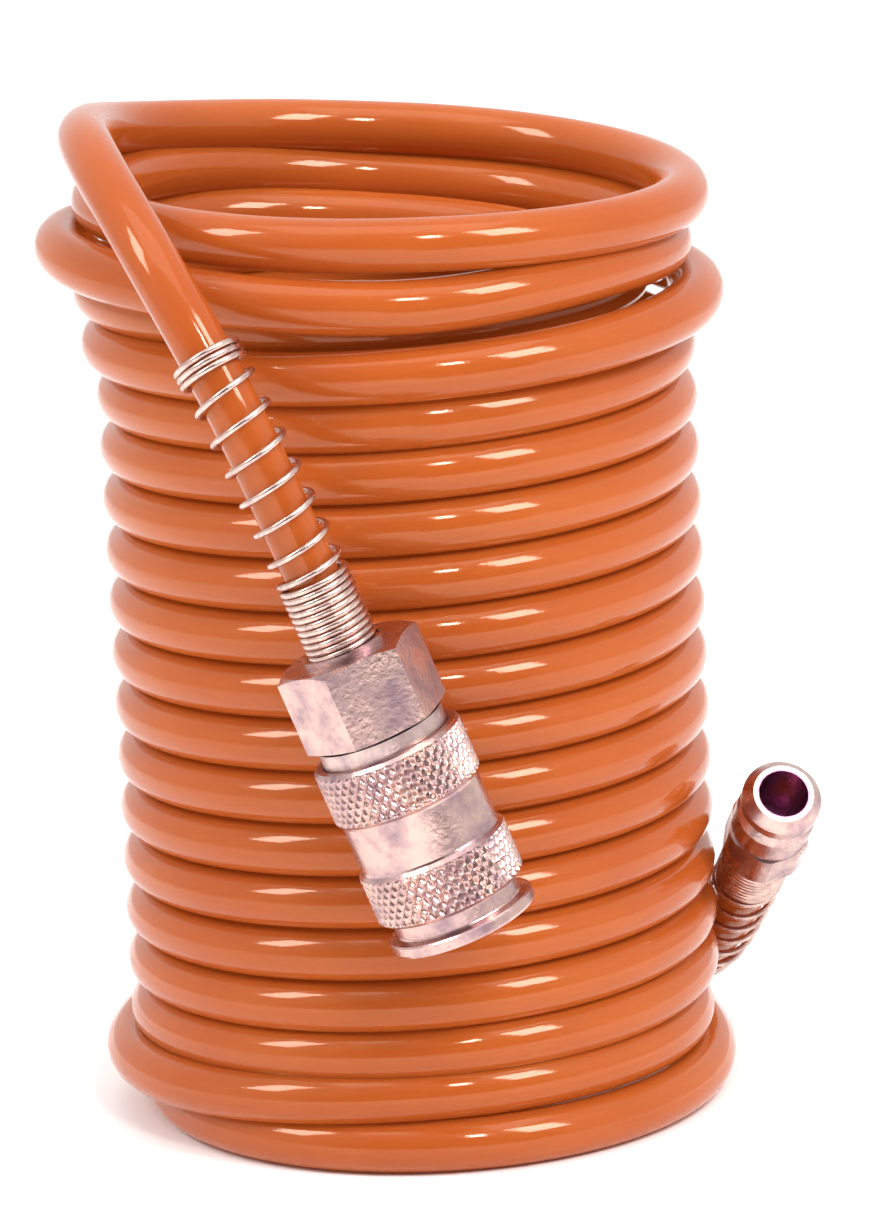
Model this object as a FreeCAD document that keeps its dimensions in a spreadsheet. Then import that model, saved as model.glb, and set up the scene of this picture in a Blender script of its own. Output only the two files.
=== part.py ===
"""Recoil air hose with a quick coupler at one end and a plug at the other.

Millimetres, +Z up, standing on its coil. The origin is the middle of the whole
model's footprint, on the surface that the coil stands on.
"""
import FreeCAD, Part
import math
import os

import Sketcher

V = FreeCAD.Vector

doc = FreeCAD.newDocument("recoil_hose")
sheet = doc.addObject("Spreadsheet::Sheet", "Dims")

DIMS = [
    # hose and coil
    ("hose_od", 8.0), ("coil_radius", 41.1), ("coil_height", 141.5), ("coil_edge_round", 2.5),
    ("axis_x", -5.8), ("axis_y", 5.6),
    ("foot_flare", 1.7), ("foot_flare_top", 10.0), ("crown_flare", 3.4), ("crown_flare_start", 119.0),
    ("flare_slope", 5.0),
    # spring guards, the same on both ends
    ("guard_wire", 1.0), ("guard_hose_gap", 0.4), ("guard_pocket_gap", 0.1), ("guard_free_length", 46.3),
    # hose tail: the hose end on its barb
    ("pocket_depth", 3.3), ("grip_length", 2.0), ("clamp_cone_length", 1.5), ("hose_hole_gap", 0.15),
    ("barb_length", 5.8), ("barb_root_r", 2.5), ("barb_ridge_r", 2.9), ("barb_bore_r", 1.8),
    ("barb_hose_gap", 0.1), ("tip_gap", 0.1),
    # coupler nut
    ("collar_r", 6.2), ("collar_length", 0.8), ("nut_af", 19.0), ("nut_length", 12.0),
    ("nut_corner_cut", 0.9), ("nut_front_cut", 0.35), ("nut_thread_r", 6.3), ("thread_gap", 0.05),
    # socket body, stem and gasket
    ("face_gap", 0.3), ("stem_thread_r", 6.5), ("stem_thread_length", 4.9), ("gasket_width", 1.0),
    ("gasket_inner_r", 5.0), ("stem_nose_length", 0.9), ("stem_nose_gap", 0.1),
    ("flange_r", 9.5), ("flange_length", 5.5), ("body_r", 7.3), ("body_length", 31.3),
    ("chamber_r", 5.75), ("seat_r", 4.4), ("seat_width", 1.6), ("mouth_r", 6.05), ("mouth_depth", 11.6),
    ("mouth_chamfer", 0.5),
    ("ball_d", 2.5), ("ball_count", 6), ("ball_depth", 6.0), ("ball_bite", 0.8), ("ball_travel", 0.82),
    ("ball_gap", 0.05), ("ball_relief", 0.2),
    # sleeve
    ("neck_gap", 2.7), ("sleeve_r", 11.25), ("sleeve_waist_r", 10.5), ("sleeve_step_r", 9.5),
    ("sleeve_lip_r", 11.05), ("band_1", 8.6), ("waist_length", 7.9), ("band_2", 8.1), ("step_length", 2.6),
    ("lip_length", 2.2), ("sleeve_chamfer", 0.5), ("slide_gap", 0.06), ("sleeve_travel", 2.5),
    ("shoulder_width", 4.0),
    ("stop_ring_gap", 0.09), ("stop_ring_width", 1.2), ("stop_ring_depth", 0.4), ("stop_ring_offset", 1.9),
    ("sleeve_wire", 1.0), ("sleeve_spring_r", 8.45), ("sleeve_spring_turns", 6),
    # valve
    ("packing_r", 6.2), ("packing_section", 1.2), ("packing_offset", 1.4),
    ("seal_width", 1.0), ("seal_seat_gap", 0.1), ("seal_inner_r", 3.4), ("valve_gap", 0.5),
    ("head_width", 2.3), ("crown_r", 4.1), ("crown_bore_r", 2.9), ("crown_reach", 5.0), ("slot_width", 2.4),
    ("slot_length", 2.6), ("guide_r", 3.4), ("guide_length", 1.5),
    ("valve_wire", 0.7), ("valve_spring_r", 4.5), ("valve_spring_turns", 5), ("spring_seat_gap", 0.05),
    # plug
    ("plug_nut_af", 12.0), ("plug_nut_length", 7.5), ("plug_nut_corner_cut", 0.55), ("plug_nut_turned_r", 6.4), ("plug_thread_r", 4.8),
    ("plug_r", 6.0), ("plug_collar_length", 4.7), ("plug_groove_length", 3.0), ("plug_groove_r", 4.9),
    ("plug_groove_slope", 0.9), ("plug_land_length", 1.8), ("plug_nose_length", 1.6), ("plug_face_r", 4.6),
    ("plug_bore_r", 3.75), ("plug_bore_depth", 12.0), ("plug_face_gap", 0.2),
    # places and attitudes, from the coil's axis, as set for these sizes of coil, nut and hose
    ("set_for_radius", 41.1), ("set_for_height", 141.5), ("set_for_nut", 19.0), ("set_for_hose", 8.0),
    ("coupler_x", -8.944), ("coupler_y", -57.411), ("coupler_z", 83.039), ("coupler_lean", 20.15),
    ("coupler_pitch", 0.7), ("coupler_roll", 17.5),
    ("plug_x", 54.8), ("plug_y", -17.0), ("plug_z", 48.1), ("plug_lean", 11.08), ("plug_pitch", 38.68),
    ("plug_roll", 0.0),
    ("coupler_straight", 26.0), ("plug_straight", 37.4),
]
for row, (alias, value) in enumerate(DIMS, start=1):
    sheet.set("A%d" % row, alias)
    sheet.set("B%d" % row, str(value))
    sheet.setAlias("B%d" % row, alias)
doc.recompute()


def dim(alias):
    return float(getattr(sheet, alias))


def value_of(expression):
    """Number that an expression over the sheet's cells stands for."""
    sheet.set("D1", "=" + str(expression))
    sheet.recompute()
    value = sheet.get("D1")
    return float(getattr(value, "Value", value))


def bound(expression):
    """The same expression as another object of the document writes it."""
    words = expression.replace("(", " ( ").replace(")", " ) ").split()
    return " ".join("Dims." + word if word[0].isalpha()
                    else word for word in words)


def origin_plane(body, role):
    return next(feature for feature in body.Origin.OriginFeatures if feature.Role == role)


def plane_sketch(body, name, role):
    sketch = body.newObject("Sketcher::SketchObject", name)
    sketch.AttachmentSupport = [(origin_plane(body, role), "")]
    sketch.MapMode = "FlatFace"
    return sketch


def fix_point(sketch, geometry, point, horizontal, vertical):
    """Tie one point of a sketch to two expressions, measured from the sketch's origin."""
    for kind, axis, expression in (("DistanceX", -2, horizontal), ("DistanceY", -1, vertical)):
        value = value_of(expression)
        if abs(value) < 1e-9:
            sketch.addConstraint(Sketcher.Constraint("PointOnObject", geometry, point, axis))
            continue
        index = sketch.addConstraint(Sketcher.Constraint(kind, -1, 1, geometry, point, value))
        sketch.setExpression("Constraints[%d]" % index, bound(expression))


def outline(body, name, points):
    """Closed outline in the body's XZ plane; each point is (radius, height) as expressions."""
    sketch = plane_sketch(body, name, "XZ_Plane")
    spots = [V(value_of(radius), value_of(height), 0) for radius, height in points]
    for index, spot in enumerate(spots):
        sketch.addGeometry(Part.LineSegment(spot, spots[(index + 1) % len(spots)]), False)
    for index in range(len(spots)):
        sketch.addConstraint(Sketcher.Constraint("Coincident", index, 2, (index + 1) % len(spots), 1))
    for index, (radius, height) in enumerate(points):
        fix_point(sketch, index, 1, radius, height)
    return sketch


def turn(body, kind, name, points):
    """Turned stock (Revolution) or a turned cut (Groove) about the body's own Z axis."""
    sketch = outline(body, name + "Outline", points)
    feature = body.newObject("PartDesign::" + kind, name)
    feature.Profile = sketch
    feature.ReferenceAxis = (sketch, ["V_Axis"])
    feature.Angle = 360.0
    doc.recompute()
    return feature


def new_body(label, placement):
    body = doc.addObject("PartDesign::Body", "Body_" + label)
    body.Label = label
    body.Placement = placement
    return body


def coil_spring(label, placement, mean_radius, start, pitch, turns, wire):
    """Round-wire helical spring from one circle in the XZ plane."""
    body = new_body(label, placement)
    sketch = plane_sketch(body, "Wire", "XZ_Plane")
    centre = V(value_of(mean_radius), value_of(start), 0)
    sketch.addGeometry(Part.Circle(centre, V(0, 0, 1), value_of(wire) / 2), False)
    fix_point(sketch, 0, 3, mean_radius, start)
    index = sketch.addConstraint(Sketcher.Constraint("Radius", 0, value_of(wire) / 2))
    sketch.setExpression("Constraints[%d]" % index, bound("( %s ) / 2" % wire))
    helix = body.newObject("PartDesign::AdditiveHelix", "Turns")
    helix.Profile = sketch
    helix.ReferenceAxis = (sketch, ["V_Axis"])
    helix.Mode = 0
    helix.setExpression("Pitch", bound(pitch))
    helix.setExpression("Height", bound("( %s ) * ( %s )" % (pitch, turns)))
    doc.recompute()
    return body


def frame_at(point, direction, front, roll):
    """Placement with Z along direction and X towards front, then rolled about Z."""
    z_axis = V(direction).normalize()
    x_axis = V(front) - z_axis * z_axis.dot(front)
    x_axis.normalize()
    y_axis = z_axis.cross(x_axis)
    turned = FreeCAD.Rotation(x_axis, y_axis, z_axis, "ZXY")
    return FreeCAD.Placement(point, turned.multiply(FreeCAD.Rotation(V(0, 0, 1), roll)))


# ---- places -------------------------------------------------------------------------------
AXIS = V(dim("axis_x"), dim("axis_y"), 0)


COIL_GROWTH = dim("coil_radius") - dim("set_for_radius") + (dim("hose_od") - dim("set_for_hose")) / 2
NUT_GROWTH = (dim("nut_af") - dim("set_for_nut")) / 2
HEIGHT_GROWTH = dim("coil_height") - dim("set_for_height")


def place_near_coil(spot, outwards, upwards):
    """A point given from the coil's axis, moved out and up with the sizes it depends on."""
    reach = math.hypot(spot[0], spot[1])
    stretch = (reach + outwards) / reach
    return AXIS + V(spot[0] * stretch, spot[1] * stretch, spot[2] + upwards)


def heading(lean, pitch):
    """Unit direction: lean from +Z or -Y towards +X, pitch towards the second axis."""
    return math.sin(math.radians(lean)), math.cos(math.radians(lean)), math.radians(pitch)


side, along, tip = heading(dim("coupler_lean"), dim("coupler_pitch"))
COUPLER_DIR = V(side, along * math.sin(tip), -along * math.cos(tip))
side, along, tip = heading(dim("plug_lean"), dim("plug_pitch"))
PLUG_DIR = V(side * math.cos(tip), -along * math.cos(tip), math.sin(tip))

hex_foot = place_near_coil((dim("coupler_x"), dim("coupler_y"), dim("coupler_z")),
                           COIL_GROWTH + NUT_GROWTH, HEIGHT_GROWTH)
coupler = frame_at(hex_foot - COUPLER_DIR * dim("collar_length"), COUPLER_DIR, V(0, -1, 0), 0)
coupler_nut_frame = frame_at(coupler.Base, COUPLER_DIR, V(0, -1, 0), dim("coupler_roll"))

# stations along the coupler, from the nut collar's rear face towards the mouth
HOSE_R = "hose_od / 2"
GUARD_IN = "( %s + guard_hose_gap )" % HOSE_R
GUARD_OUT = "( %s + guard_wire )" % GUARD_IN
POCKET_R = "( %s + guard_pocket_gap )" % GUARD_OUT
HOLE_R = "( %s + hose_hole_gap )" % HOSE_R
CONE_END = "( pocket_depth + grip_length + clamp_cone_length )"
HOSE_STOP = "( pocket_depth + grip_length + clamp_cone_length + 0.5 )"
NUT_END = "( collar_length + nut_length )"
BODY_START = "( %s + face_gap )" % NUT_END
BODY_END = "( %s + body_length )" % BODY_START
STEM_SHOULDER = "( %s + face_gap + stem_thread_length )" % BODY_START
GASKET_END = "( %s + gasket_width )" % STEM_SHOULDER
SEAT_FRONT = "( %s - mouth_depth )" % BODY_END
SEAT_BACK = "( %s - seat_width )" % SEAT_FRONT
BALL_Z = "( %s - ball_depth )" % BODY_END
BALL_R = "( mouth_r - ball_bite + ball_d / 2 )"
SLEEVE_START = "( %s + neck_gap )" % NUT_END
WAIST_START = "( %s + band_1 )" % SLEEVE_START
WAIST_END = "( %s + waist_length )" % WAIST_START
STEP_START = "( %s + band_2 )" % WAIST_END
LIP_START = "( %s + step_length )" % STEP_START
SLEEVE_END = "( %s + lip_length )" % LIP_START
SLIDE_R = "( body_r + slide_gap )"
RAMP = "( ball_travel / sleeve_travel )"
RAMP_R = "( %s + ( ball_d / 2 + ball_gap ) * ( 1 + %s * %s ) ^ 0.5 )" % (BALL_R, RAMP, RAMP)
RAMP_START = "( %s - ( %s - %s ) / %s )" % (BALL_Z, RAMP_R, SLIDE_R, RAMP)
RAMP_END = "( %s + sleeve_travel )" % BALL_Z
RECESS_R = "( %s + ball_travel )" % RAMP_R
SHOULDER = "( %s - shoulder_width )" % RAMP_START
RING_START = "( %s + stop_ring_offset )" % BALL_Z
RING_END = "( %s + stop_ring_width )" % RING_START
RING_R = "( %s + %s * stop_ring_offset - stop_ring_gap )" % (RAMP_R, RAMP)
SEAL_FRONT = "( %s - seal_seat_gap )" % SEAT_BACK
SEAL_BACK = "( %s - seal_width )" % SEAL_FRONT
HEAD_BACK = "( %s - head_width )" % SEAL_BACK
CROWN_END = "( %s + crown_reach )" % SEAL_FRONT

# ---- coupler ------------------------------------------------------------------------------


def hex_nut(label, placement, across_flats, start, length, rear_cut, front_cut, bores):
    """Hexagon bar, its corners turned off at both ends, with turned bores."""
    body = new_body(label, placement)
    bar = body.newObject("PartDesign::AdditivePrism", "Bar")
    bar.Polygon = 6
    bar.AttachmentSupport = [(origin_plane(body, "XY_Plane"), "")]
    bar.MapMode = "FlatFace"
    bar.setExpression("Circumradius", bound("%s / 3 ^ 0.5" % across_flats))
    bar.setExpression("Height", bound(length))
    bar.setExpression("AttachmentOffset.Base.z", bound(start))
    doc.recompute()
    corner = "( %s / 3 ^ 0.5 + 0.5 )" % across_flats
    flat = "( %s / 2 - 0.1 )" % across_flats
    end = "( %s + %s )" % (start, length)
    rise = "( %s + %s )" % (start, rear_cut)
    fall = "( %s - %s )" % (end, front_cut)
    turn(body, "Groove", "RearCorners", [(flat, start), (corner, start), (corner, rise)])
    turn(body, "Groove", "FrontCorners", [(flat, end), (corner, fall), (corner, end)])
    for name, kind, points in bores:
        turn(body, kind, name, points)
    return body


COLLAR = [("0", "0"), ("collar_r", "0"), ("collar_r", "collar_length + 0.5"), ("0", "collar_length + 0.5")]
NUT_BORE_R = "( nut_thread_r + thread_gap )"
nut_bore = [("0", "0"), (POCKET_R, "0"), (POCKET_R, "pocket_depth"), (HOLE_R, "pocket_depth"),
            (HOLE_R, "pocket_depth + grip_length"), (NUT_BORE_R, CONE_END), (NUT_BORE_R, NUT_END),
            ("0", NUT_END)]
hex_nut("coupler_nut", coupler_nut_frame, "nut_af", "collar_length", "nut_length", "nut_corner_cut",
        "nut_front_cut",
        [("Collar", "Revolution", COLLAR), ("Bore", "Groove", nut_bore)])


def barb_points(stop):
    """Hose barb with two saw-tooth ridges, ending at the face that stops the hose."""
    foot = "( %s - barb_length )" % stop
    return [("barb_bore_r", foot), ("barb_root_r", foot),
            ("barb_ridge_r", "%s + 1.6" % foot), ("barb_root_r", "%s + 1.6" % foot),
            ("barb_ridge_r", "%s + 3.4" % foot), ("barb_root_r", "%s + 3.4" % foot),
            ("barb_root_r", stop)]


STEM_START = "( %s + 0.0 )" % HOSE_STOP
stem = new_body("coupler_stem", coupler)
turn(stem, "Revolution", "Turned", barb_points(STEM_START) + [
    ("nut_thread_r", STEM_START), ("nut_thread_r", "%s + face_gap" % BODY_START),
    ("stem_thread_r", "%s + face_gap" % BODY_START), ("stem_thread_r", STEM_SHOULDER),
    ("gasket_inner_r - stem_nose_gap", STEM_SHOULDER),
    ("gasket_inner_r - stem_nose_gap", "%s + stem_nose_length" % STEM_SHOULDER),
    ("barb_bore_r", "%s + stem_nose_length" % STEM_SHOULDER)])

gasket = new_body("stem_gasket", coupler)
turn(gasket, "Revolution", "Turned", [
    ("gasket_inner_r", STEM_SHOULDER), ("stem_thread_r", STEM_SHOULDER),
    ("stem_thread_r", GASKET_END), ("gasket_inner_r", GASKET_END)])

socket = new_body("socket_body", coupler)
REAR_BORE = "( stem_thread_r + thread_gap )"
PACKING_Z = "( %s + packing_offset )" % SEAT_FRONT
PACKING_HALF = "( packing_section / 2 + 0.05 )"
RELIEF_R = "( mouth_r + ball_relief )"
RELIEF_FRONT = "( %s + ball_d / 2 + 2 * ball_gap )" % BALL_Z
RELIEF_BACK = "( %s - ball_d / 2 - 2 * ball_gap )" % BALL_Z
PACKING_OUT = "( packing_r + packing_section / 2 )"
RING_GROOVE_R = "( body_r - stop_ring_depth )"
turn(socket, "Revolution", "Turned", [
    (REAR_BORE, BODY_START), ("flange_r", BODY_START), ("flange_r", "%s + flange_length" % BODY_START),
    ("body_r", "%s + flange_length" % BODY_START), ("body_r", RING_START), (RING_GROOVE_R, RING_START),
    (RING_GROOVE_R, RING_END), ("body_r", RING_END), ("body_r", BODY_END),
    ("mouth_r + mouth_chamfer", BODY_END), ("mouth_r", "%s - mouth_chamfer" % BODY_END),
    ("mouth_r", RELIEF_FRONT), (RELIEF_R, RELIEF_FRONT), (RELIEF_R, RELIEF_BACK), ("mouth_r", RELIEF_BACK),
    ("mouth_r", "%s + %s" % (PACKING_Z, PACKING_HALF)), (PACKING_OUT, "%s + %s" % (PACKING_Z, PACKING_HALF)),
    (PACKING_OUT, "%s - %s" % (PACKING_Z, PACKING_HALF)), ("mouth_r", "%s - %s" % (PACKING_Z, PACKING_HALF)),
    ("mouth_r", SEAT_FRONT), ("seat_r", SEAT_FRONT), ("seat_r", SEAT_BACK), ("chamber_r", SEAT_BACK),
    ("chamber_r", GASKET_END), (REAR_BORE, GASKET_END)])
solid_before = socket.Shape.Volume
hole = plane_sketch(socket, "BallHole", "YZ_Plane")
hole.addGeometry(Part.Circle(V(0, value_of(BALL_Z), 0), V(0, 0, 1), value_of("ball_d / 2 + ball_gap")), False)
fix_point(hole, 0, 3, "0", BALL_Z)
index = hole.addConstraint(Sketcher.Constraint("Radius", 0, value_of("ball_d / 2 + ball_gap")))
hole.setExpression("Constraints[%d]" % index, bound("ball_d / 2 + ball_gap"))
drill = socket.newObject("PartDesign::Pocket", "BallDrill")
drill.Profile = hole
drill.Type = "Length"
drill.setExpression("Length", bound("body_r + 1"))
drill.Reversed = True
doc.recompute()
ring_of_holes = socket.newObject("PartDesign::PolarPattern", "BallHoles")
ring_of_holes.Originals = [drill]
ring_of_holes.Axis = (hole, ["V_Axis"])
ring_of_holes.Angle = 360
ring_of_holes.setExpression("Occurrences", bound("ball_count"))
socket.Tip = ring_of_holes
doc.recompute()
drilled = solid_before - socket.Shape.Volume
print("ball holes removed", round(drilled, 2), "mm3")

packing = doc.addObject("Part::Torus", "Packing")
packing.Label = "plug_packing"
packing.setExpression("Radius1", bound("packing_r"))
packing.setExpression("Radius2", bound("packing_section / 2"))
packing.Placement = coupler.multiply(FreeCAD.Placement(V(0, 0, value_of(PACKING_Z)), FreeCAD.Rotation()))

stop_ring = new_body("sleeve_stop_ring", coupler)
turn(stop_ring, "Revolution", "Turned", [
    (RING_GROOVE_R, RING_START), (RING_R, RING_START), (RING_R, RING_END),
    (RING_GROOVE_R, RING_END)])

sleeve = new_body("sleeve", coupler)
SLEEVE_REAR_R = "( flange_r + slide_gap )"
turn(sleeve, "Revolution", "Turned", [
    (SLEEVE_REAR_R, SLEEVE_START), ("sleeve_r - sleeve_chamfer", SLEEVE_START),
    ("sleeve_r", "%s + sleeve_chamfer" % SLEEVE_START), ("sleeve_r", "%s - sleeve_chamfer" % WAIST_START),
    ("sleeve_waist_r", "%s + 0.2" % WAIST_START), ("sleeve_waist_r", "%s - 0.2" % WAIST_END),
    ("sleeve_r", "%s + sleeve_chamfer" % WAIST_END), ("sleeve_r", "%s - sleeve_chamfer" % STEP_START),
    ("sleeve_step_r", "%s + 0.4" % STEP_START), ("sleeve_step_r", LIP_START),
    ("sleeve_lip_r", "%s + 0.4" % LIP_START), ("sleeve_lip_r", "%s - sleeve_chamfer" % SLEEVE_END),
    ("sleeve_lip_r - sleeve_chamfer", SLEEVE_END), (RECESS_R, SLEEVE_END), (RECESS_R, RAMP_END),
    (SLIDE_R, RAMP_START), (SLIDE_R, SHOULDER), (SLEEVE_REAR_R, SHOULDER)])

FLANGE_FRONT = "( %s + flange_length )" % BODY_START
SPRING_ROOM = "( %s - %s - sleeve_wire - 2 * spring_seat_gap )" % (SHOULDER, FLANGE_FRONT)
coil_spring("sleeve_spring", coupler, "sleeve_spring_r",
            "( %s + spring_seat_gap + sleeve_wire / 2 )" % FLANGE_FRONT,
            "( %s / sleeve_spring_turns )" % SPRING_ROOM, "sleeve_spring_turns", "sleeve_wire")

ball_step = 360.0 / dim("ball_count")
for number in range(int(dim("ball_count"))):
    ball = doc.addObject("Part::Sphere", "Ball%d" % (number + 1))
    ball.Label = "lock_ball_%d" % (number + 1)
    ball.setExpression("Radius", bound("ball_d / 2"))
    around = FreeCAD.Rotation(V(0, 0, 1), ball_step * number)
    spot = around.multVec(V(value_of(BALL_R), 0, value_of(BALL_Z)))
    ball.Placement = coupler.multiply(FreeCAD.Placement(spot, around))

poppet = new_body("valve_poppet", coupler)
SEAL_LAND_R = "( seal_inner_r - 0.05 )"
turn(poppet, "Revolution", "Turned", [
    ("0", "%s - guide_length" % HEAD_BACK), ("guide_r", "%s - guide_length" % HEAD_BACK), ("guide_r", HEAD_BACK),
    ("chamber_r - valve_gap", HEAD_BACK), ("chamber_r - valve_gap", SEAL_BACK), (SEAL_LAND_R, SEAL_BACK),
    (SEAL_LAND_R, SEAL_FRONT), ("crown_r", SEAL_FRONT), ("crown_r", CROWN_END), ("crown_bore_r", CROWN_END),
    ("crown_bore_r", "%s + 0.9" % SEAL_FRONT), ("0", "%s + 0.9" % SEAL_FRONT)])
SLOT_START = "( %s + 1.2 )" % SEAL_FRONT
slot = plane_sketch(poppet, "SlotOutline", "XZ_Plane")
left, low, high = value_of("slot_width / 2"), value_of(SLOT_START), value_of("%s + slot_length" % SLOT_START)
corners = [V(-left, low, 0), V(left, low, 0), V(left, high, 0), V(-left, high, 0)]
for index, corner in enumerate(corners):
    slot.addGeometry(Part.LineSegment(corner, corners[(index + 1) % 4]), False)
for index in range(4):
    slot.addConstraint(Sketcher.Constraint("Coincident", index, 2, (index + 1) % 4, 1))
SLOT_HALF = "slot_width / 2"
for index, (across, height) in enumerate((("0 - " + SLOT_HALF, SLOT_START), (SLOT_HALF, SLOT_START),
                                          (SLOT_HALF, SLOT_START + " + slot_length"),
                                          ("0 - " + SLOT_HALF, SLOT_START + " + slot_length"))):
    fix_point(slot, index, 1, across, height)
windows = poppet.newObject("PartDesign::Pocket", "Windows")
windows.Profile = slot
windows.Type = "ThroughAll"
windows.Midplane = True
doc.recompute()
window_ring = poppet.newObject("PartDesign::PolarPattern", "WindowPattern")
window_ring.Originals = [windows]
window_ring.Axis = (slot, ["V_Axis"])
window_ring.Angle = 180
window_ring.Occurrences = 3
poppet.Tip = window_ring
doc.recompute()

seal = new_body("valve_seal", coupler)
turn(seal, "Revolution", "Turned", [
    ("seal_inner_r", SEAL_BACK), ("chamber_r - valve_gap", SEAL_BACK),
    ("chamber_r - valve_gap", SEAL_FRONT), ("seal_inner_r", SEAL_FRONT)])

VALVE_FOOT = "( %s + stem_nose_length + spring_seat_gap + valve_wire / 2 )" % STEM_SHOULDER
VALVE_ROOM = "( %s - spring_seat_gap - valve_wire / 2 - %s )" % (HEAD_BACK, VALVE_FOOT)
coil_spring("valve_spring", coupler, "valve_spring_r", VALVE_FOOT,
            "( %s / valve_spring_turns )" % VALVE_ROOM, "valve_spring_turns", "valve_wire")

# ---- plug ---------------------------------------------------------------------------------
plug_tip = AXIS + V(dim("plug_x") + COIL_GROWTH, dim("plug_y"), dim("plug_z"))
COLLAR_BACK = "( plug_nut_length + plug_face_gap )"
COLLAR_FRONT = "( %s + plug_collar_length )" % COLLAR_BACK
LAND_BACK = "( %s + plug_groove_length )" % COLLAR_FRONT
LAND_FRONT = "( %s + plug_land_length )" % LAND_BACK
PLUG_FACE = "( %s + plug_nose_length )" % LAND_FRONT
plug = frame_at(plug_tip - PLUG_DIR * value_of(PLUG_FACE), PLUG_DIR, V(0, -1, 0), dim("plug_roll"))
PLUG_HOSE_STOP = "( plug_nut_length - 1.0 )"
PLUG_BORE_R = "( plug_thread_r + thread_gap )"
PLUG_POCKET = "( pocket_depth - collar_length )"
plug_bores = [("TurnedCorners", "Groove", [
    ("plug_nut_turned_r", "0 - 0.1"), ("8", "0 - 0.1"), ("8", "plug_nut_length + 0.1"),
    ("plug_nut_turned_r", "plug_nut_length + 0.1")]), ("Bore", "Groove", [
    ("0", "0"), (POCKET_R, "0"), (POCKET_R, PLUG_POCKET), (HOLE_R, PLUG_POCKET),
    (HOLE_R, "%s + 0.5" % PLUG_POCKET), (PLUG_BORE_R, "%s + 1.2" % PLUG_POCKET),
    (PLUG_BORE_R, "plug_nut_length"), ("0", "plug_nut_length")])]
hex_nut("plug_nut", plug, "plug_nut_af", "0", "plug_nut_length", "plug_nut_corner_cut", "plug_nut_corner_cut",
        plug_bores)

nipple = new_body("plug_body", plug)
BORE_FLOOR = "( %s - plug_bore_depth )" % PLUG_FACE
turn(nipple, "Revolution", "Turned", barb_points(PLUG_HOSE_STOP)[1:] + [
    ("plug_thread_r", PLUG_HOSE_STOP), ("plug_thread_r", COLLAR_BACK), ("plug_r", COLLAR_BACK),
    ("plug_r", COLLAR_FRONT), ("plug_groove_r", "%s + plug_groove_slope" % COLLAR_FRONT),
    ("plug_groove_r", "%s - plug_groove_slope" % LAND_BACK), ("plug_r", LAND_BACK), ("plug_r", LAND_FRONT),
    ("plug_face_r", PLUG_FACE), ("plug_bore_r", PLUG_FACE), ("plug_bore_r", BORE_FLOOR),
    ("barb_bore_r", BORE_FLOOR), ("barb_bore_r", "( %s - barb_length )" % PLUG_HOSE_STOP)])

# ---- hose ---------------------------------------------------------------------------------
coil = new_body("hose_coil", FreeCAD.Placement(AXIS, FreeCAD.Rotation()))
COIL_OUT = "( coil_radius + %s )" % HOSE_R
COIL_IN = "( coil_radius - %s )" % HOSE_R
turn(coil, "Revolution", "Wound", [
    (COIL_IN, "coil_edge_round"), ("%s + coil_edge_round" % COIL_IN, "0"),
    ("%s - coil_edge_round + foot_flare" % COIL_OUT, "0"), ("%s + foot_flare" % COIL_OUT, "coil_edge_round"),
    ("%s + foot_flare" % COIL_OUT, "foot_flare_top"), (COIL_OUT, "foot_flare_top + flare_slope"),
    (COIL_OUT, "crown_flare_start - flare_slope"), ("%s + crown_flare" % COIL_OUT, "crown_flare_start"),
    ("%s + crown_flare" % COIL_OUT, "coil_height - coil_edge_round"),
    ("%s + crown_flare - coil_edge_round" % COIL_OUT, "coil_height"),
    ("%s + coil_edge_round" % COIL_IN, "coil_height"), (COIL_IN, "coil_height - coil_edge_round")])

# The hose's two leads, from the coil's axis. Each starts where the hose stops on its barb
# and runs straight out of its nut before the first of these points.
COUPLER_ROUTE = [(-24.7, -55.4, 122.6), (-34.8, -45.6, 140.4),
                 (-42.5, -25.5, 150.4), (-45.0, -1.5, 150.6), (-40.5, 21.0, 147.0), (-27.0, 36.5, 143.0)]
PLUG_ROUTE = [(41.5, 36.1, 8.5), (28.2, 48.3, 4.8), (9.2, 54.3, 4.0),
              (-10.5, 50.9, 4.0), (-27.5, 38.6, 4.0), (-38.3, 19.5, 4.0)]
ARC_SHARE = 0.45


def route_edges(points):
    """Straight runs joined by tangent arcs, each as large as its two runs allow."""
    edges = []
    radii = []
    reach = points[0]
    for before, here, after in zip(points, points[1:], points[2:]):
        back = (before - here)
        ahead = (after - here)
        cut = ARC_SHARE * min(back.Length, ahead.Length)
        back.normalize()
        ahead.normalize()
        half_turn = (math.pi - back.getAngle(ahead)) / 2
        radius = cut / math.tan(half_turn)
        radii.append(radius)
        start = here + back * cut
        finish = here + ahead * cut
        bisector = (back + ahead).normalize()
        middle = here + bisector * (radius / math.cos(half_turn) - radius)
        edges.append(Part.LineSegment(reach, start).toShape())
        edges.append(Part.Arc(start, middle, finish).toShape())
        reach = finish
    edges.append(Part.LineSegment(reach, points[-1]).toShape())
    return edges, radii


def first_stretch(edges, length):
    """The first part of a route, cut off at a length along it."""
    kept = []
    left = length
    for edge in edges:
        if edge.Length >= left:
            end = edge.getParameterByLength(left)
            kept.append(edge.Curve.toShape(edge.FirstParameter, end))
            return kept
        kept.append(edge)
        left -= edge.Length
    return kept


def swept(edges, radius):
    spine = Part.Wire(edges)
    start = edges[0].valueAt(edges[0].FirstParameter)
    direction = edges[0].tangentAt(edges[0].FirstParameter)
    section = Part.Wire([Part.makeCircle(radius, start, direction)])
    solid = spine.makePipeShell([section], True, False)
    expected = math.pi * radius ** 2 * spine.Length
    print("swept volume / section x length:", round(solid.Volume / expected, 4), "length", round(spine.Length, 1))
    return solid


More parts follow.
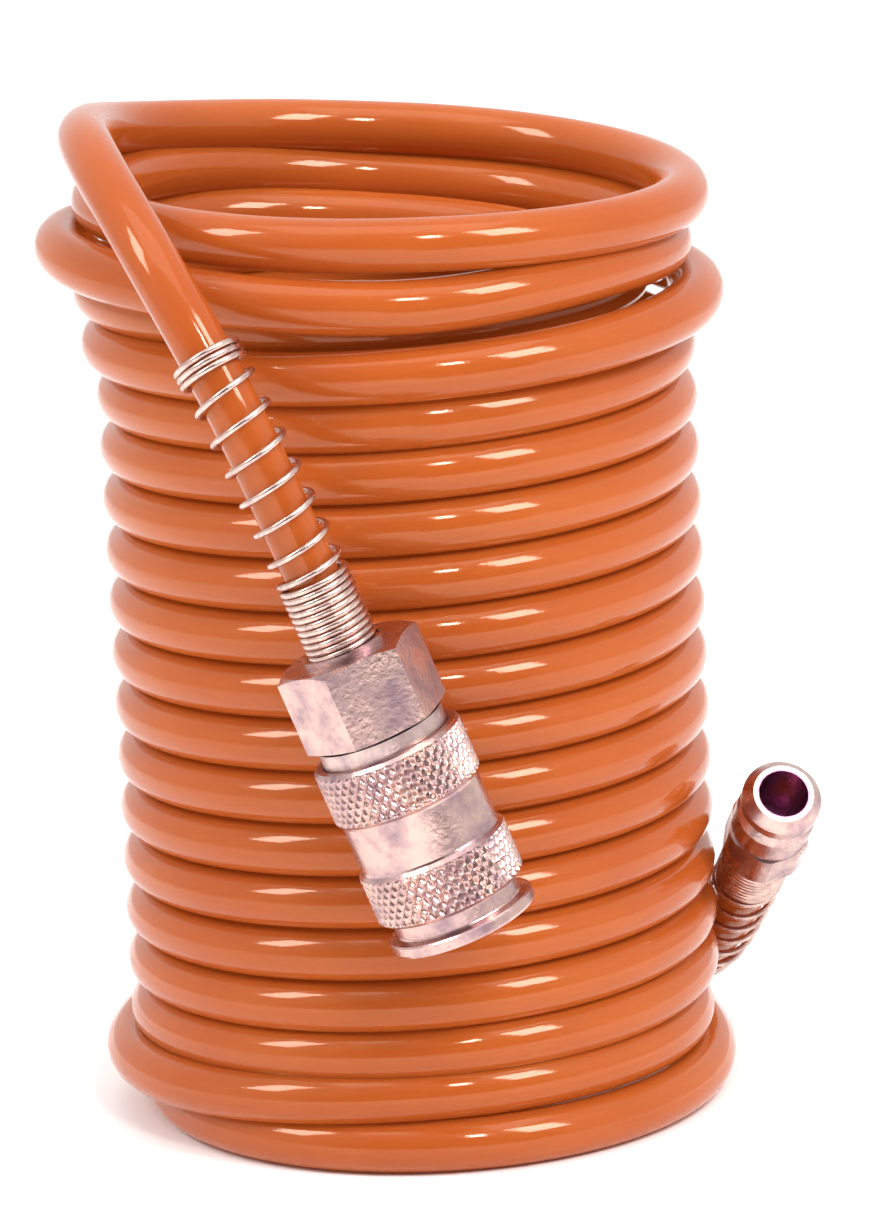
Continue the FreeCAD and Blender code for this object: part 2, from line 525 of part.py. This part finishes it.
def add_feature(label, shape):
    feature = doc.addObject("Part::Feature", "Piece_" + label)
    feature.Label = label
    feature.Shape = shape
    return feature


def add_lead(name, route, fitting, direction, hose_stop, guard_start, growth, straight):
    """One lead with its spring guard; the hose end is bored out to sit over the barb."""
    start = fitting.multVec(V(0, 0, hose_stop))
    points = [start, start - direction * straight] + [place_near_coil(spot, *growth) for spot in route]
    edges, radii = route_edges(points)
    print(name, "radii", [round(radius, 1) for radius in radii])
    lead = swept(edges, dim("hose_od") / 2)
    stretch_r = dim("barb_ridge_r") + dim("barb_hose_gap")
    bore_length = dim("barb_length") + dim("tip_gap")
    lead = lead.cut(Part.makeCylinder(stretch_r, bore_length, start, direction * -1))
    add_feature("hose_lead_" + name, lead)
    seat = fitting.multVec(V(0, 0, guard_start))
    total = dim("guard_free_length") + guard_start
    skip = (start - seat).Length
    guard_edges = first_stretch(edges, skip + total)
    first = guard_edges[0]
    guard_edges[0] = Part.LineSegment(seat, first.valueAt(first.LastParameter)).toShape()
    outer = swept(guard_edges, value_of(GUARD_OUT))
    inner = swept(guard_edges, value_of(GUARD_IN))
    add_feature(name + "_spring_guard", outer.cut(inner))


add_lead("coupler", COUPLER_ROUTE, coupler, COUPLER_DIR, value_of(HOSE_STOP) - 0.1,
         dim("pocket_depth") - 0.2, (COIL_GROWTH + NUT_GROWTH, HEIGHT_GROWTH),
         dim("coupler_straight"))
add_lead("plug", PLUG_ROUTE, plug, PLUG_DIR, value_of(PLUG_HOSE_STOP) - 0.1,
         value_of(PLUG_POCKET) - 0.2, (COIL_GROWTH, 0), dim("plug_straight"))

# ---- checks and files ---------------------------------------------------------------------
doc.recompute()
for thing in doc.Objects:
    if "Invalid" in thing.State or "Error" in thing.State:
        raise RuntimeError("%s failed: %s" % (thing.Label, thing.State))
kinds = ("PartDesign::Body", "Part::Feature", "Part::Sphere", "Part::Torus")
pieces = [thing for thing in doc.Objects if thing.TypeId in kinds]
for piece in pieces:
    if piece.Shape.isNull() or not piece.Shape.isValid():
        raise RuntimeError(piece.Label + " has no valid shape")
os.makedirs("parts", exist_ok=True)
for piece in pieces:
    piece.Shape.exportStep("parts/%s.step" % piece.Label)
whole = FreeCAD.BoundBox()
for piece in pieces:
    whole.add(piece.Shape.optimalBoundingBox(False, False))
print(len(pieces), "pieces; box", [round(n, 2) for n in (whole.XMin, whole.XMax, whole.YMin, whole.YMax,
                                                         whole.ZMin, whole.ZMax)])
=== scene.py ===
# A recoil air hose standing on its coil: quick coupler hanging in front, plug at the right.
import bpy
from math import sin, cos, pi
from mathutils import Vector, Matrix


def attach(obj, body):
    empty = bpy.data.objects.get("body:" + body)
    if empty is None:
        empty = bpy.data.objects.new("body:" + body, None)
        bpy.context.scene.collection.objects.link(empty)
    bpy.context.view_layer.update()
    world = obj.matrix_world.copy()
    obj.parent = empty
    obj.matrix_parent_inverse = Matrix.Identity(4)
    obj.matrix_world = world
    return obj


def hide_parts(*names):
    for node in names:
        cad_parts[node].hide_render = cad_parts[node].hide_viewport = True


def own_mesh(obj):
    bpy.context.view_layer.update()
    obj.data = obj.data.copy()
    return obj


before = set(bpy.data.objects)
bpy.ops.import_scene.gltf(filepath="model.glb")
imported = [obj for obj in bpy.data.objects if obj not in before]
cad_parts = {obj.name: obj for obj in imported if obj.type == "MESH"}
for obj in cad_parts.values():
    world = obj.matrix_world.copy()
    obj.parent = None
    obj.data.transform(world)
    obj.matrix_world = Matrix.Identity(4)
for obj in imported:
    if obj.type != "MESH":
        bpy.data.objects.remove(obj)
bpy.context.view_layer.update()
mm = 0.001


def toLinear(hexColour):
    # sRGB hex to the linear values that shaders take
    parts = [int(hexColour[i:i + 2], 16) / 255 for i in (0, 2, 4)]
    return [p / 12.92 if p <= 0.04045 else ((p + 0.055) / 1.055) ** 2.4 for p in parts] + [1.0]


def addNode(tree, kind, settings=None, sockets=None, links=None):
    # one node: its settings, plain socket values, then {input: (other node, output)}
    node = tree.nodes.new(kind)
    for name, value in (settings or {}).items():
        setattr(node, name, value)
    for name, value in (sockets or {}).items():
        node.inputs[name].default_value = value
    for name, (other, output) in (links or {}).items():
        tree.links.new(other.outputs[output], node.inputs[name])
    return node


coilAxis = Vector((-5.8, 5.6, 0)) * mm
view = {"stand": Vector((4.196, -1010.1, 313.05)) * mm, "pitch": 0.2317, "roll": -0.0472, "lens": 203.2}
lens = bpy.data.cameras.new("viewLens")
lens.lens, lens.sensor_width, lens.clip_start, lens.clip_end = view["lens"], 36.0, 0.05, 50.0
camera = bpy.data.objects.new("viewCamera", lens)
camera.matrix_world = (Matrix.Translation(coilAxis + view["stand"])
                       @ Matrix.Rotation(pi / 2 - view["pitch"], 4, "X")
                       @ Matrix.Rotation(view["roll"], 4, "Z"))
bpy.context.collection.objects.link(camera)
bpy.context.scene.camera = camera
print("camera set")

hose = {"diameter": 8 * mm, "length": 5.2, "pointsPerTurn": 24, "cutIn": 0.375, "onFloor": 4.0,
        # coupler lead, from the nut up and over onto the top turn, mm from the coil's axis
        "couplerLead": [(-15.7, -57.7, 101.4), (-24.7, -55.4, 122.6), (-34.8, -45.6, 140.4),
                        (-42.5, -25.5, 150.4), (-45.0, -1.5, 150.6), (-40.5, 21.0, 147.0)],
        # (turns from the left, radius, height): a loose tilted crown, even turns, a flared foot
        "crown": [(0.15, 42.5, 144.5), (0.25, 41.5, 141.8), (0.5, 43.9, 137.2), (0.75, 41.0, 138.1),
                  (1.0, 43.2, 139.8), (1.12, 42.4, 139.0), (1.25, 41.6, 134.0), (1.5, 41.0, 129.9),
                  (1.62, 41.2, 130.6), (1.75, 42.4, 129.3),
                  (2.0, 49.0, 133.8), (2.25, 35.0, 128.6), (2.5, 34.2, 124.5), (2.75, 35.5, 124.2),
                  (2.88, 39.8, 125.8),
                  (3.0, 43.8, 126.2), (3.25, 42.0, 124.4), (3.5, 45.6, 122.5), (3.75, 42.5, 119.4),
                  (4.0, 42.9, 118.5), (4.25, 41.5, 116.5), (4.5, 41.0, 114.5), (4.75, 41.0, 112.2)],
        "even": {"from": 5, "to": 16, "radius": 41.0, "top": 110.6, "pitch": 7.93},
        "foot": [(16.25, 41.0, 21.4), (16.5, 41.0, 19.8), (16.75, 41.0, 17.9), (17.0, 41.0, 15.8),
                 (17.25, 37.2, 14.2), (17.5, 40.0, 12.1), (17.75, 41.5, 11.6), (18.0, 45.1, 9.2),
                 (18.25, 44.6, 11.8), (18.5, 43.0, 4.6), (18.75, 42.5, 4.0), (19.0, 38.9, 4.0)],
        # plug lead, out from under the coil behind it and up into the plug's nut
        "plugLead": [(-36.0, 18.0, 4.0), (-24.0, 36.5, 4.0), (-9.5, 47.5, 4.0), (9.2, 53.3, 4.0),
                     (28.2, 48.3, 4.8), (41.5, 36.1, 8.5), (47.3, 21.2, 17.0)]}
couplerEnd = Vector((-12.539, -51.738, 77.031)) * mm
plugEnd = Vector((47.140, -1.900, 40.350)) * mm


def turnKeys():
    even = hose["even"]
    keys = list(hose["crown"])
    for step in range((even["to"] - even["from"]) * 4 + 1):
        turn = even["from"] + step / 4
        keys.append((turn, even["radius"], even["top"] - even["pitch"] * (turn - even["from"])))
    return keys + hose["foot"]


def smoothBetween(keys, turn):
    # cubic through the keys, slopes from the neighbours
    i = max(k for k in range(len(keys) - 1) if keys[k][0] <= turn + 1e-9)
    a, b = keys[i], keys[i + 1]
    before, after = keys[max(i - 1, 0)], keys[min(i + 2, len(keys) - 1)]
    span = b[0] - a[0]
    t = (turn - a[0]) / span
    out = []
    for c in (1, 2):
        slopeA = (b[c] - before[c]) / (b[0] - before[0]) * span
        slopeB = (after[c] - a[c]) / (after[0] - a[0]) * span
        out.append((2 * t ** 3 - 3 * t ** 2 + 1) * a[c] + (t ** 3 - 2 * t ** 2 + t) * slopeA
                   + (3 * t ** 2 - 2 * t ** 3) * b[c] + (t ** 3 - t ** 2) * slopeB)
    return out


def hosePoints():
    points = [couplerEnd] + [coilAxis + Vector(p) * mm for p in hose["couplerLead"]]
    keys = turnKeys()
    swell = 1 + hose["cutIn"] * (pi / hose["pointsPerTurn"]) ** 2  # the spline runs inside its points
    first, last = keys[0][0], keys[-1][0]
    count = int(round((last - first) * hose["pointsPerTurn"]))
    for step in range(count + 1):
        turn = first + (last - first) * step / count
        radius, height = smoothBetween(keys, turn)
        angle = 2 * pi * turn
        points.append(coilAxis + Vector((-radius * swell * cos(angle), radius * swell * sin(angle),
                                         max(height, hose["onFloor"]))) * mm)
    return points + [coilAxis + Vector(p) * mm for p in hose["plugLead"]] + [plugEnd]


def nurbsCurve(name, points, thickness):
    curve = bpy.data.curves.new(name, "CURVE")
    curve.dimensions = "3D"
    spline = curve.splines.new("NURBS")
    spline.points.add(len(points) - 1)
    for slot, p in zip(spline.points, points):
        slot.co = (p.x, p.y, p.z, 1.0)
    spline.order_u = 3
    spline.use_endpoint_u = True
    spline.resolution_u = 6
    curve.bevel_depth = thickness / 2
    curve.bevel_resolution = 7
    curve.use_fill_caps = True
    piece = bpy.data.objects.new(name, curve)
    bpy.context.collection.objects.link(piece)
    return piece


hoseTube = nurbsCurve("hoseTube", hosePoints(), hose["diameter"])


def centreLine(piece):
    # the spline's own points, with no thickness
    depth, caps = piece.data.bevel_depth, piece.data.use_fill_caps
    piece.data.bevel_depth, piece.data.use_fill_caps = 0.0, False
    bpy.context.view_layer.update()
    mesh = bpy.data.meshes.new_from_object(piece.evaluated_get(bpy.context.evaluated_depsgraph_get()))
    line = [v.co.copy() for v in mesh.vertices]
    bpy.data.meshes.remove(mesh)
    piece.data.bevel_depth, piece.data.use_fill_caps = depth, caps
    return line


hoseLine = centreLine(hoseTube)
hoseLength = sum((b - a).length for a, b in zip(hoseLine, hoseLine[1:]))
print("hose", round(hoseLength, 3), "m")

guard = {"wire": 1.0 * mm, "middleRadius": 4.9 * mm, "stepsPerTurn": 28, "hidden": 4.0 * mm,
         "linePoints": 400,
         "wireSteps": 2, "wireSides": 3,  # how finely every spring's wire is cut
         "coupler": [(14, 1.02), (1, 3.2), (6, 4.8), (3, 1.03)],  # (turns, mm each), from the nut outwards
         "plug": [(13, 1.02), (6, 5.0), (3, 1.03)]}


def springWire(name, line, steps):
    # wire wound round a line that starts at the hose's end inside the nut
    lengths = [0.0]
    for a, b in zip(line, line[1:]):
        lengths.append(lengths[-1] + (b - a).length)
    side = (line[1] - line[0]).cross(Vector((0.3, 0.9, 0.2))).normalized()
    sides = []
    for i in range(len(line)):
        ahead = (line[min(i + 1, len(line) - 1)] - line[max(i - 1, 0)]).normalized()
        side = (side - ahead * side.dot(ahead)).normalized()
        sides.append((side.copy(), ahead.cross(side)))
    points, along, angle, i = [], guard["hidden"], 0.0, 0
    for turns, pitch in steps:
        for step in range(turns * guard["stepsPerTurn"]):
            while i < len(line) - 2 and lengths[i + 1] < along:
                i += 1
            t = (along - lengths[i]) / max(lengths[i + 1] - lengths[i], 1e-9)
            centre = line[i].lerp(line[i + 1], t)
            u, v = sides[i][0].lerp(sides[i + 1][0], t), sides[i][1].lerp(sides[i + 1][1], t)
            points.append(centre + (u * cos(angle) + v * sin(angle)) * guard["middleRadius"])
            angle += 2 * pi / guard["stepsPerTurn"]
            along += pitch * mm / guard["stepsPerTurn"]
    return nurbsCurve(name, points, guard["wire"])


couplerGuard = springWire("couplerGuardWire", hoseLine[:guard["linePoints"]], guard["coupler"])
plugGuard = springWire("plugGuardWire", hoseLine[::-1][:guard["linePoints"]], guard["plug"])
for piece in (couplerGuard, plugGuard):
    piece.data.splines[0].resolution_u = guard["wireSteps"]
    piece.data.bevel_resolution = guard["wireSides"]
print("spring guards wound")

couplerFoot = Vector((-15.0196, -51.8202, 83.790)) * mm
couplerAxis = Vector((0.344479, 0.011469, -0.938724)).normalized()
couplerFront = Vector((0.003951, -0.999934, -0.010767)).normalized()
couplerSide = couplerAxis.cross(couplerFront)
# inner compression springs: radius, wire, first and last wire centre along the coupler, mm, and turns
pressSprings = {"sleeve_spring": {"radius": 8.45, "wire": 1.0, "span": (19.2, 32.3), "turns": 6,
                                  "joint": "sleeve_slide", "travel": 2.5},
                "valve_spring": {"radius": 4.5, "wire": 0.7, "span": (19.62, 27.38), "turns": 5,
                                 "joint": "valve_slide", "travel": 3.0}}


def wirePiece(name, points, wire):
    # wound wire as a mesh
    curve = nurbsCurve(name + "Path", points, wire)
    curve.data.splines[0].resolution_u, curve.data.bevel_resolution = guard["wireSteps"], guard["wireSides"]
    bpy.context.view_layer.update()
    mesh = bpy.data.meshes.new_from_object(curve.evaluated_get(bpy.context.evaluated_depsgraph_get()))
    bpy.data.objects.remove(curve)
    piece = bpy.data.objects.new(name, mesh)
    bpy.context.collection.objects.link(piece)
    return piece


innerSprings = []
for node, spec in pressSprings.items():
    steps, (low, high) = spec["turns"] * guard["stepsPerTurn"], spec["span"]
    points = []
    for step in range(steps + 1):
        angle, w = 2 * pi * step / guard["stepsPerTurn"], low + (high - low) * step / steps
        points.append(couplerFoot + (couplerAxis * w + (couplerFront * cos(angle) + couplerSide * sin(angle))
                                     * spec["radius"]) * mm)
    piece = wirePiece(spec["joint"] + "Spring", points, spec["wire"] * mm)
    innerSprings.append((node, spec, piece))
print("inner springs wound")

sleeve = {"diamonds": 44, "diamondLength": 2.2, "knurlDepth": 0.42, "flankSteepness": 1.5,
          "segments": 400, "rowStep": 0.2, "slack": 0.01,
          "bands": [(16.2, 23.4), (32.7, 39.4)], "bandsOutside": 11.0,
          # outside from the rear edge to the mouth, (radius, distance along), mm
          "outside": [(9.9, 15.5), (10.75, 15.52), (11.2, 16.0), (11.25, 16.2), (11.25, 23.4), (11.2, 23.6),
                      (10.6, 24.15), (10.5, 24.5), (10.5, 31.6), (10.6, 31.95), (11.2, 32.5), (11.25, 32.7),
                      (11.25, 39.4), (11.2, 39.6), (10.7, 40.1), (9.6, 40.3), (9.5, 40.6), (9.5, 42.5),
                      (9.62, 42.72), (10.8, 43.0), (11.05, 43.25), (11.05, 44.4), (10.9, 44.75),
                      (10.55, 44.9), (9.2, 44.9), (8.9, 44.8)],
          "inside": [(8.69, 44.5), (8.69, 40.9), (7.36, 36.85), (7.36, 32.9), (9.56, 32.85), (9.56, 15.8)]}


def tentWave(x):
    return abs((x % 1.0) - 0.5) * 2


def inBand(low, high):
    return any(a - sleeve["slack"] <= low and high <= b + sleeve["slack"] for a, b in sleeve["bands"])


def knurledSleeve():
    rows = []
    for (r0, w0), (r1, w1) in zip(sleeve["outside"], sleeve["outside"][1:]):
        parts = max(1, int(round(abs(w1 - w0) / sleeve["rowStep"])))
        parts = parts if inBand(min(w0, w1), max(w0, w1)) else 1
        rows += [(r0 + (r1 - r0) * k / parts, w0 + (w1 - w0) * k / parts) for k in range(parts)]
    rows.append(sleeve["outside"][-1])
    rows += sleeve["inside"]
    verts, faces, n = [], [], sleeve["segments"]
    for radius, w in rows:
        knurled = inBand(w, w) and radius > sleeve["bandsOutside"]
        for k in range(n):
            r = radius
            if knurled:
                u, v = sleeve["diamonds"] * k / n, w / sleeve["diamondLength"]
                rise = min(tentWave(u + v), tentWave(u - v))  # two crossing rows of grooves
                r -= sleeve["knurlDepth"] * (1 - min(1.0, rise * sleeve["flankSteepness"]))
            angle = 2 * pi * k / n
            outwards = couplerFront * cos(angle) + couplerSide * sin(angle)
            verts.append(couplerFoot + (couplerAxis * w + outwards * r) * mm)
    for row in range(len(rows)):
        low, high = row * n, ((row + 1) % len(rows)) * n
        faces += [(low + k, low + (k + 1) % n, high + (k + 1) % n, high + k) for k in range(n)]
    mesh = bpy.data.meshes.new("knurledSleeve")
    mesh.from_pydata(verts, [], faces)
    mesh.update()
    piece = bpy.data.objects.new("knurledSleeve", mesh)
    bpy.context.collection.objects.link(piece)
    return piece


sleevePiece = knurledSleeve()
print("sleeve knurled")


def newMaterial(name, shaderSockets):
    material = bpy.data.materials.new(name)
    material.use_nodes = True
    tree = material.node_tree
    shader = tree.nodes["Principled BSDF"]
    for socket, value in shaderSockets.items():
        shader.inputs[socket].default_value = value
    return material, tree, shader


def setStop(ramp, index, position, hexColour):
    stop = ramp.color_ramp.elements[index]
    stop.position, stop.color = position, toLinear(hexColour)


def extrudedPolyurethane():
    # wet-looking gloss over an orange that light enters a little
    # the weak glow stands in for light that has come through the hose from its far side
    look = {"deep": "a04b1e", "light": "aa5521", "cloudMm": 30.0, "drawLineMm": 0.7}
    material, tree, shader = newMaterial("extrudedPolyurethane", {
        "Roughness": 0.09, "IOR": 1.5, "Subsurface Weight": 0.5, "Subsurface Scale": 0.004,
        "Subsurface Radius": (1.0, 0.35, 0.15), "Emission Color": toLinear("c05a1e"),
        "Emission Strength": 0.12, "Specular Tint": toLinear("ffe6cf")})
    place = addNode(tree, "ShaderNodeTexCoord")
    cloud = addNode(tree, "ShaderNodeTexNoise", None, {"Scale": 1000 / look["cloudMm"], "Detail": 3.0},
                    {"Vector": (place, "Object")})
    colours = addNode(tree, "ShaderNodeValToRGB", None, None, {"Fac": (cloud, "Fac")})
    setStop(colours, 0, 0.3, look["deep"])
    setStop(colours, 1, 0.7, look["light"])
    fine = addNode(tree, "ShaderNodeTexNoise", None, {"Scale": 1000 / look["drawLineMm"], "Detail": 2.0},
                   {"Vector": (place, "Object")})
    bump = addNode(tree, "ShaderNodeBump", None, {"Strength": 0.04, "Distance": 0.2 * mm},
                   {"Height": (fine, "Fac")})
    tree.links.new(colours.outputs["Color"], shader.inputs["Base Color"])
    tree.links.new(bump.outputs["Normal"], shader.inputs["Normal"])
    return material


def metalFinish(name, light, dark, roughness, blotchMm, grainMm, bumpDepth):
    # one plated or drawn metal: colour clouds, then fine marks in its gloss and surface
    material, tree, shader = newMaterial(name, {"Metallic": 1.0})
    place = addNode(tree, "ShaderNodeTexCoord")
    blotch = addNode(tree, "ShaderNodeTexNoise", None,
                     {"Scale": 1000 / blotchMm, "Detail": 5.0, "Roughness": 0.65},
                     {"Vector": (place, "Object")})
    colours = addNode(tree, "ShaderNodeValToRGB", None, None, {"Fac": (blotch, "Fac")})
    setStop(colours, 0, 0.32, dark)
    setStop(colours, 1, 0.6, light)
    gloss = addNode(tree, "ShaderNodeMapRange", None,
                    {"From Min": 0.3, "From Max": 0.7, "To Min": roughness * 1.5, "To Max": roughness * 0.8},
                    {"Value": (blotch, "Fac")})
    grain = addNode(tree, "ShaderNodeTexNoise", None, {"Scale": 1000 / grainMm, "Detail": 3.0},
                    {"Vector": (place, "Object")})
    bump = addNode(tree, "ShaderNodeBump", None, {"Strength": bumpDepth, "Distance": 0.2 * mm},
                   {"Height": (grain, "Fac")})
    tree.links.new(colours.outputs["Color"], shader.inputs["Base Color"])
    tree.links.new(gloss.outputs["Result"], shader.inputs["Roughness"])
    tree.links.new(bump.outputs["Normal"], shader.inputs["Normal"])
    return material


# the bore's colour is painted shade with a purple painted reflection
plugBore = {"foot": (0.0461795, 0.0030026, 0.0363506), "along": (0.150025, -0.766097, 0.62497),
            "radius": 3.9 * mm, "paintedShadeColour": "a8708f"}


def paintBoreShade(material, bore):
    # painted shade with a purple painted reflection in the bore, kept inside one radius of the plug's axis
    tree = material.node_tree
    shader = tree.nodes["Principled BSDF"]
    link = shader.inputs["Base Color"].links[0]
    plated = link.from_node, link.from_socket.name
    place = addNode(tree, "ShaderNodeTexCoord")
    arm = addNode(tree, "ShaderNodeVectorMath", {"operation": "SUBTRACT"}, None, {0: (place, "Object")})
    arm.inputs[1].default_value = bore["foot"]
    across = addNode(tree, "ShaderNodeVectorMath", {"operation": "CROSS_PRODUCT"}, None, {0: (arm, "Vector")})
    across.inputs[1].default_value = bore["along"]
    away = addNode(tree, "ShaderNodeVectorMath", {"operation": "LENGTH"}, None, {0: (across, "Vector")})
    inside = addNode(tree, "ShaderNodeMath", {"operation": "LESS_THAN"}, {1: bore["radius"]},
                     {0: (away, "Value")})
    mix = addNode(tree, "ShaderNodeMix", {"data_type": "RGBA"}, {7: toLinear(bore["paintedShadeColour"])},
                  {0: (inside, "Value"), 6: plated})
    tree.links.new(mix.outputs[2], shader.inputs["Base Color"])


def softFinish(name, light, dark, roughness, grainMm):
    # moulded rubber or plastic: matt, with a fine even grain
    material, tree, shader = newMaterial(name, {"Roughness": roughness, "IOR": 1.5})
    place = addNode(tree, "ShaderNodeTexCoord")
    grain = addNode(tree, "ShaderNodeTexNoise", None, {"Scale": 1000 / grainMm, "Detail": 3.0},
                    {"Vector": (place, "Object")})
    colours = addNode(tree, "ShaderNodeValToRGB", None, None, {"Fac": (grain, "Fac")})
    setStop(colours, 0, 0.0, dark)
    setStop(colours, 1, 1.0, light)
    bump = addNode(tree, "ShaderNodeBump", None, {"Strength": 0.15, "Distance": 0.1 * mm},
                   {"Height": (grain, "Fac")})
    tree.links.new(colours.outputs["Color"], shader.inputs["Base Color"])
    tree.links.new(bump.outputs["Normal"], shader.inputs["Normal"])
    return material


polyurethane = extrudedPolyurethane()
# warm silver plating with faint cloudy marks
nickelPlate = metalFinish("nickelPlatedBrass", "d4b2a8", "9d8088", 0.24, 5.0, 0.8, 0.25)
# plug plating with painted shade and a purple painted reflection in its bore
plugPlate = metalFinish("nickelPlatePaintedBoreShade", "d8b8ae", "9d8088", 0.24, 5.0, 0.8, 0.15)
paintBoreShade(plugPlate, plugBore)
turnedSteel = metalFinish("turnedSteel", "cdb3ab", "98828a", 0.3, 3.0, 0.4, 0.2)
drawnWire = metalFinish("drawnSpringWire", "e0c4b8", "b4958f", 0.22, 2.0, 0.3, 0.1)
nitrile = softFinish("mouldedNitrile", "1c1a1a", "0e0d0d", 0.6, 0.5)
acetal = softFinish("mouldedAcetal", "5a2f52", "42213c", 0.35, 0.5)
finishes = {"coupler_nut": nickelPlate, "plug_nut": nickelPlate, "plug_body": plugPlate,
            "socket_body": turnedSteel, "coupler_stem": turnedSteel, "sleeve_stop_ring": drawnWire,
            "stem_gasket": nitrile, "valve_seal": nitrile, "plug_packing": nitrile, "valve_poppet": acetal}
finishes.update({"lock_ball_%d" % n: turnedSteel for n in range(1, 7)})
for node, material in finishes.items():
    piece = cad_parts[node]
    for slot in piece.material_slots:
        slot.material = material
for piece, material in ((hoseTube, polyurethane), (couplerGuard, drawnWire), (plugGuard, drawnWire),
                        (sleevePiece, nickelPlate)):
    piece.data.materials.append(material)
for _, _, piece in innerSprings:
    piece.data.materials.clear()
    piece.data.materials.append(drawnWire)
print("materials made")

for piece, body in ((hoseTube, "hose"), (couplerGuard, "hose"), (plugGuard, "hose"), (sleevePiece, "sleeve")):
    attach(piece, body)
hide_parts("hose_coil", "hose_lead_coupler", "hose_lead_plug")
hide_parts("coupler_spring_guard")
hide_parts("plug_spring_guard")
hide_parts("sleeve")
for node, spec, piece in innerSprings:
    low = spec["span"][0] - spec["wire"] / 2
    high = spec["span"][1] + spec["wire"] / 2
    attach(piece, "hose")
    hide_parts(node)
    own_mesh(piece)

room = {"floor": "ffffff", "air": "ffffff", "dimSide": "6a5c63", "edge": 0.45, "deepest": 0.85,
        "airStrength": 0.95}
floorMesh = bpy.data.meshes.new("paleFloor")
floorMesh.from_pydata([(-8, -8, 0), (8, -8, 0), (8, 8, 0), (-8, 8, 0)], [], [(0, 1, 2, 3)])
floor = bpy.data.objects.new("paleFloor", floorMesh)
bpy.context.collection.objects.link(floor)
floorPaint, _, _ = newMaterial("paleFloorPaint", {"Base Color": toLinear(room["floor"]), "Roughness": 0.9})
floorMesh.materials.append(floorPaint)

flag = {"left": 0.05, "right": 0.6, "ahead": -0.6, "top": 0.25, "cloth": "54464d"}
flagMesh = bpy.data.meshes.new("darkFlag")  # a card that only reflections see, for contrast in the plating
flagMesh.from_pydata([(flag["left"], flag["ahead"], 0.001), (flag["right"], flag["ahead"], 0.001),
                      (flag["right"], flag["ahead"], flag["top"]),
                      (flag["left"], flag["ahead"], flag["top"])], [], [(0, 1, 2, 3)])
flagCard = bpy.data.objects.new("darkFlag", flagMesh)
bpy.context.collection.objects.link(flagCard)
flagCloth, _, _ = newMaterial("flagCloth", {"Base Color": toLinear(flag["cloth"]), "Roughness": 0.95})
flagMesh.materials.append(flagCloth)
flagCard.visible_camera = flagCard.visible_diffuse = flagCard.visible_shadow = False

world = bpy.data.worlds.new("paleRoom")
world.use_nodes = True
sky = world.node_tree
place = addNode(sky, "ShaderNodeTexCoord")
parts = addNode(sky, "ShaderNodeSeparateXYZ", None, None, {"Vector": (place, "Generated")})
ahead = addNode(sky, "ShaderNodeMath", {"operation": "MULTIPLY"}, {1: -1.0}, {0: (parts, "Y")})
# white behind, dim in front
wall = addNode(sky, "ShaderNodeValToRGB", None, None, {"Fac": (ahead, "Value")})
setStop(wall, 0, room["edge"], room["air"])
setStop(wall, 1, room["deepest"], room["dimSide"])
sky.nodes["Background"].inputs["Strength"].default_value = room["airStrength"]
sky.links.new(wall.outputs["Color"], sky.nodes["Background"].inputs["Color"])
bpy.context.scene.world = world
bpy.context.scene.view_settings.view_transform = "Standard"

lights = {  # name: (turn from the view in degrees, height in degrees, distance, wide, tall, watts)
    "softboxLeft": (-68, 42, 1.5, 0.36, 0.62, 9.0),
    "softboxRight": (46, 42, 1.5, 0.42, 0.62, 14.0),
    "modellingBulb": (16, 42, 1.5, 0.16, 0.24, 5.0),
    "topPanel": (0, 80, 1.6, 1.4, 1.0, 6.0)}
for name, (turn, lift, distance, wide, tall, watts) in lights.items():
    lamp = bpy.data.lights.new(name, "AREA")
    lamp.shape, lamp.size, lamp.size_y, lamp.energy = "RECTANGLE", wide, tall, watts
    holder = bpy.data.objects.new(name, lamp)
    turn, lift = turn * pi / 180, lift * pi / 180
    place = Vector((sin(turn) * cos(lift), -cos(turn) * cos(lift), sin(lift))) * distance
    holder.location = place + Vector((0, 0, 0.07))
    holder.rotation_euler = (-place).to_track_quat("-Z", "Y").to_euler()
    bpy.context.collection.objects.link(holder)
print("lights placed")
